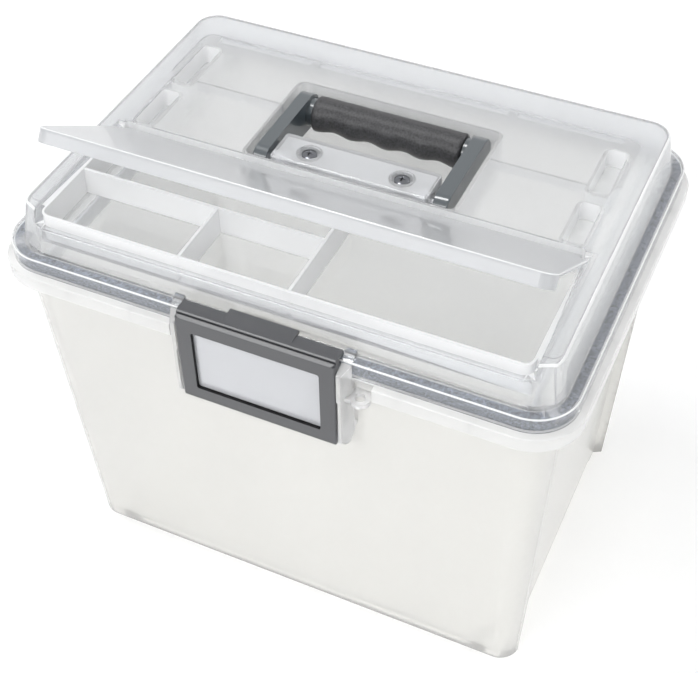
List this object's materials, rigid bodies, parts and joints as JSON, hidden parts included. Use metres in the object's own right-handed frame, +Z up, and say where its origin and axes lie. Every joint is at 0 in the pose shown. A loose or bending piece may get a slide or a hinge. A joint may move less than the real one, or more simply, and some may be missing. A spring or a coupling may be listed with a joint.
{
  "type": "portable file box",
  "caption": "Clear plastic hanging-file box with a hinged lid, organiser tray under a raised flap, fold-down rubber-grip handle, and a dark front latch with a card window.",
  "frame": {"origin": "on the floor under the centre of the overall box", "axes": "+X right along the long side, seen from the latch; +Y back, towards the lid's hinges; +Z up"},
  "size_m": [0.381, 0.2884, 0.3576],
  "materials": {
    "clear_plastic": "clear, slightly frosted",
    "rail_plastic": "clear, slightly frosted",
    "seal_foam": "matte, speckled",
    "plated_steel": "bright plated",
    "grey_plastic": "satin",
    "grip_rubber": "matte, fine texture",
    "dark_plastic": "satin, fine texture",
    "window_sheet": "clear",
    "card": "matte, blank"
  },
  "bodies": {
    "tub": {"tub": "clear_plastic", "file_rail_left": "rail_plastic", "file_rail_right": "rail_plastic", "latch_pin": "plated_steel", "hinge_pin_left": "plated_steel", "hinge_pin_right": "plated_steel"},
    "lid": {"lid_shell": "clear_plastic", "lid_seal": "seal_foam", "handle_bracket": "clear_plastic", "bracket_screws": "plated_steel", "handle_pin_left": "plated_steel", "handle_pin_right": "plated_steel"},
    "flap": {"tray_flap": "clear_plastic"},
    "handle": {"handle_arm_left": "grey_plastic", "handle_arm_right": "grey_plastic", "handle_core_bar": "plated_steel", "handle_grip": "grip_rubber"},
    "latch": {"latch_frame": "dark_plastic", "latch_window": "window_sheet", "label_card": "card", "latch_back": "dark_plastic"}
  },
  "joints": [
    {"name": "lid_hinge", "type": "hinge", "parent": "tub", "child": "lid", "pos_m": [0, 0.1396, 0.2736], "axis": [-1, 0, 0], "range_deg": [0, 105]},
    {"name": "flap_hinge", "type": "hinge", "parent": "lid", "child": "flap", "pos_m": [0, -0.0272, 0.3], "axis": [-1, 0, 0], "range_deg": [-34, 56]},
    {"name": "handle_hinge", "type": "hinge", "parent": "lid", "child": "handle", "pos_m": [0, -0.0052, 0.2975], "axis": [1, 0, 0], "range_deg": [0, 90]},
    {"name": "latch_hinge", "type": "hinge", "parent": "tub", "child": "latch", "pos_m": [0, -0.1396, 0.2174], "axis": [1, 0, 0], "range_deg": [0, 150]}
  ]
}
